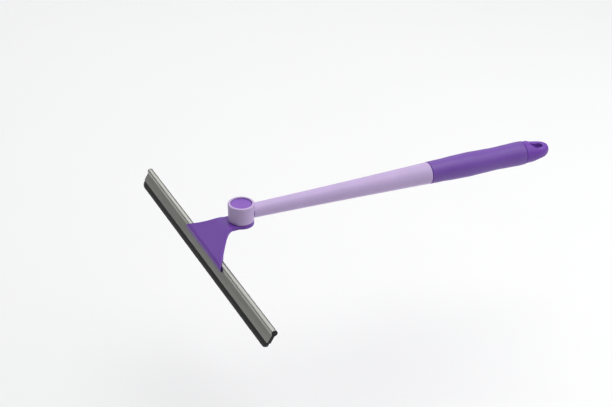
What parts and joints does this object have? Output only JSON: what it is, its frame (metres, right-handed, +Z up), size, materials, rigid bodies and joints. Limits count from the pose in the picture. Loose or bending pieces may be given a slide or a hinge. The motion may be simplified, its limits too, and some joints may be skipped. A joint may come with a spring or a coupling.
{
  "type": "window squeegee",
  "caption": "Long-handled window squeegee: a rubber blade in a metal channel, a fan-shaped bracket, and a hub with a push button that lets the head swivel.",
  "frame": {"origin": "on the swivel axis, on the flat underside of the head bracket's round end", "axes": "+Z up the swivel axis through the hub and button, +X along the handle towards the grip, Y along the blade"},
  "size_m": [0.372, 0.3, 0.0539],
  "materials": {
    "lilac_plastic": "satin moulded polypropylene",
    "purple_grip": "soft satin grip elastomer",
    "purple_plastic": "satin moulded plastic",
    "button_plastic": "semi-gloss moulded plastic",
    "channel_metal": "folded stainless sheet, fine lengthwise brushing",
    "blade_rubber": "matt black rubber",
    "black_plastic": "fine matt",
    "white_nylon": "natural nylon",
    "screw_steel": "zinc-plated steel",
    "spring_steel": "drawn spring wire"
  },
  "bodies": {
    "handle": {"handle_arm": "lilac_plastic", "grip_sleeve": "purple_grip", "end_cap": "purple_plastic"},
    "head": {"head_bracket": "purple_plastic", "clamp_plate": "purple_plastic", "clamp_screw_left": "screw_steel", "clamp_screw_right": "screw_steel", "squeegee_channel": "channel_metal", "rubber_blade": "blade_rubber", "end_plug_left": "black_plastic", "end_plug_right": "black_plastic", "channel_pin": "screw_steel", "wear_washer": "white_nylon", "floor_washer": "white_nylon", "pivot_crown": "black_plastic", "pivot_screw": "screw_steel"},
    "button": {"push_button": "button_plastic", "brake_ring": "black_plastic", "brake_pad": "blade_rubber", "button_spring": "spring_steel"}
  },
  "joints": [
    {"name": "head_swivel", "type": "hinge", "parent": "handle", "child": "head", "pos_m": [0, 0, 0], "axis": [0, 0, 1], "range_deg": [-90, 90]},
    {"name": "button_press", "type": "slide", "parent": "handle", "child": "button", "axis": [0, 0, -1], "range_m": [0, 0.0022], "stiffness_N_per_m": 600, "springref_m": -0.002, "deforming": ["button_spring"]}
  ]
}
